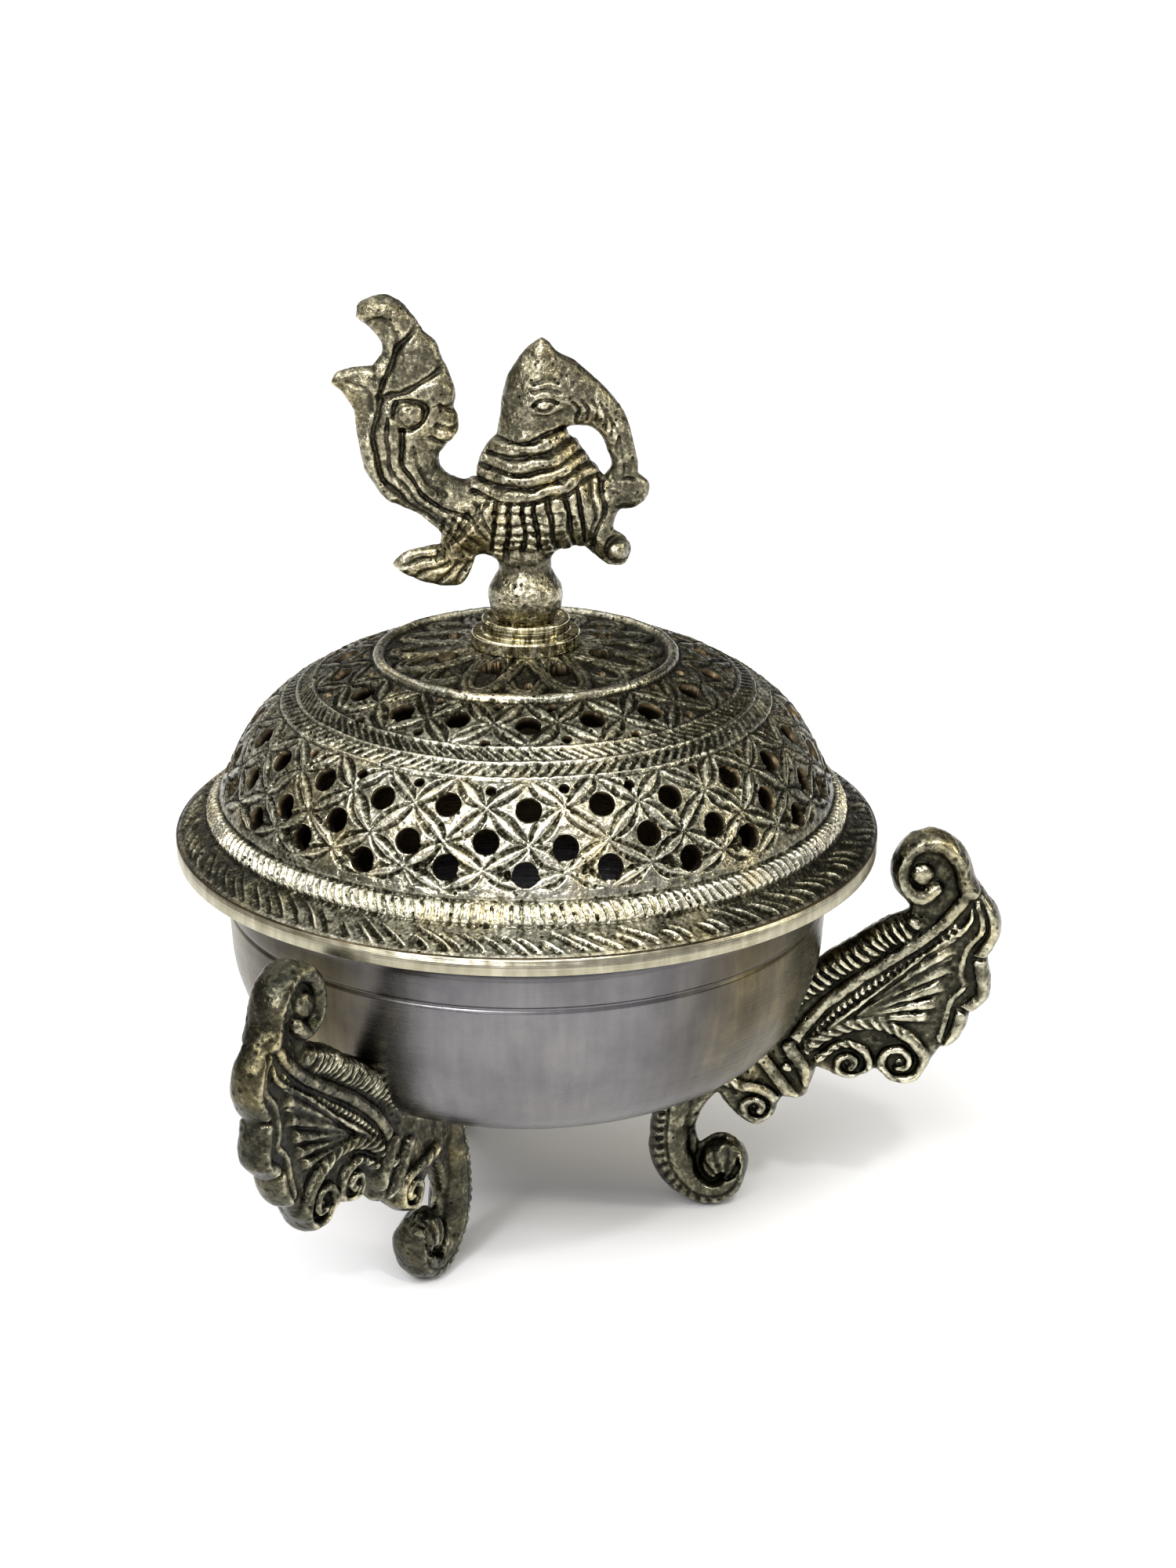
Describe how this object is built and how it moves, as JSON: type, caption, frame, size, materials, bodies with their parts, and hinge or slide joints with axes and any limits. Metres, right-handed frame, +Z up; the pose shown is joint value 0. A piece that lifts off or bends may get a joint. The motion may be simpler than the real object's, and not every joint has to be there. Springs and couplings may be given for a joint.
{
  "type": "tabletop censer",
  "caption": "Brass tabletop censer: turned bowl on three scrolled legs, a pierced dome lid that lifts off by its cast bird finial, and a loose inner charcoal cup.",
  "frame": {"origin": "centre of the bowl's flat turned underside, on the bowl's axis; the feet reach 31.3 mm below it", "axes": "+Z up along the bowl's axis, towards the bird; +X towards the bird's beak; the right leg stands at -4 degrees"},
  "size_m": [0.1541, 0.1582, 0.1771],
  "materials": {
    "turned_brass": "satin, fine lathe lines",
    "pierced_brass": "chased and pierced, dark in the recesses, bright on the high edges",
    "antique_brass": "as-cast and oxidised, worn bright on the high edges",
    "polished_brass": "polished",
    "cup_brass": "spun, smoke-stained",
    "fastener_brass": "plain turned"
  },
  "bodies": {
    "base": {"bowl": "turned_brass", "leg_right": "antique_brass", "leg_left": "antique_brass", "leg_rear": "antique_brass", "leg_screw_right": "fastener_brass", "leg_screw_left": "fastener_brass", "leg_screw_rear": "fastener_brass", "leg_washer_right": "fastener_brass", "leg_washer_left": "fastener_brass", "leg_washer_rear": "fastener_brass"},
    "lid_assembly": {"lid": "pierced_brass", "finial_collar": "polished_brass", "finial_bird": "antique_brass", "finial_stud": "polished_brass", "finial_washer": "polished_brass", "finial_nut": "polished_brass"},
    "cup": {"charcoal_cup": "cup_brass"}
  },
  "joints": [
    {"name": "lid_lift", "type": "slide", "parent": "base", "child": "lid_assembly", "axis": [0, 0, 1], "range_m": [0, 0.08]},
    {"name": "cup_lift", "type": "slide", "parent": "base", "child": "cup", "axis": [0, 0, 1], "range_m": [0, 0.048]}
  ]
}
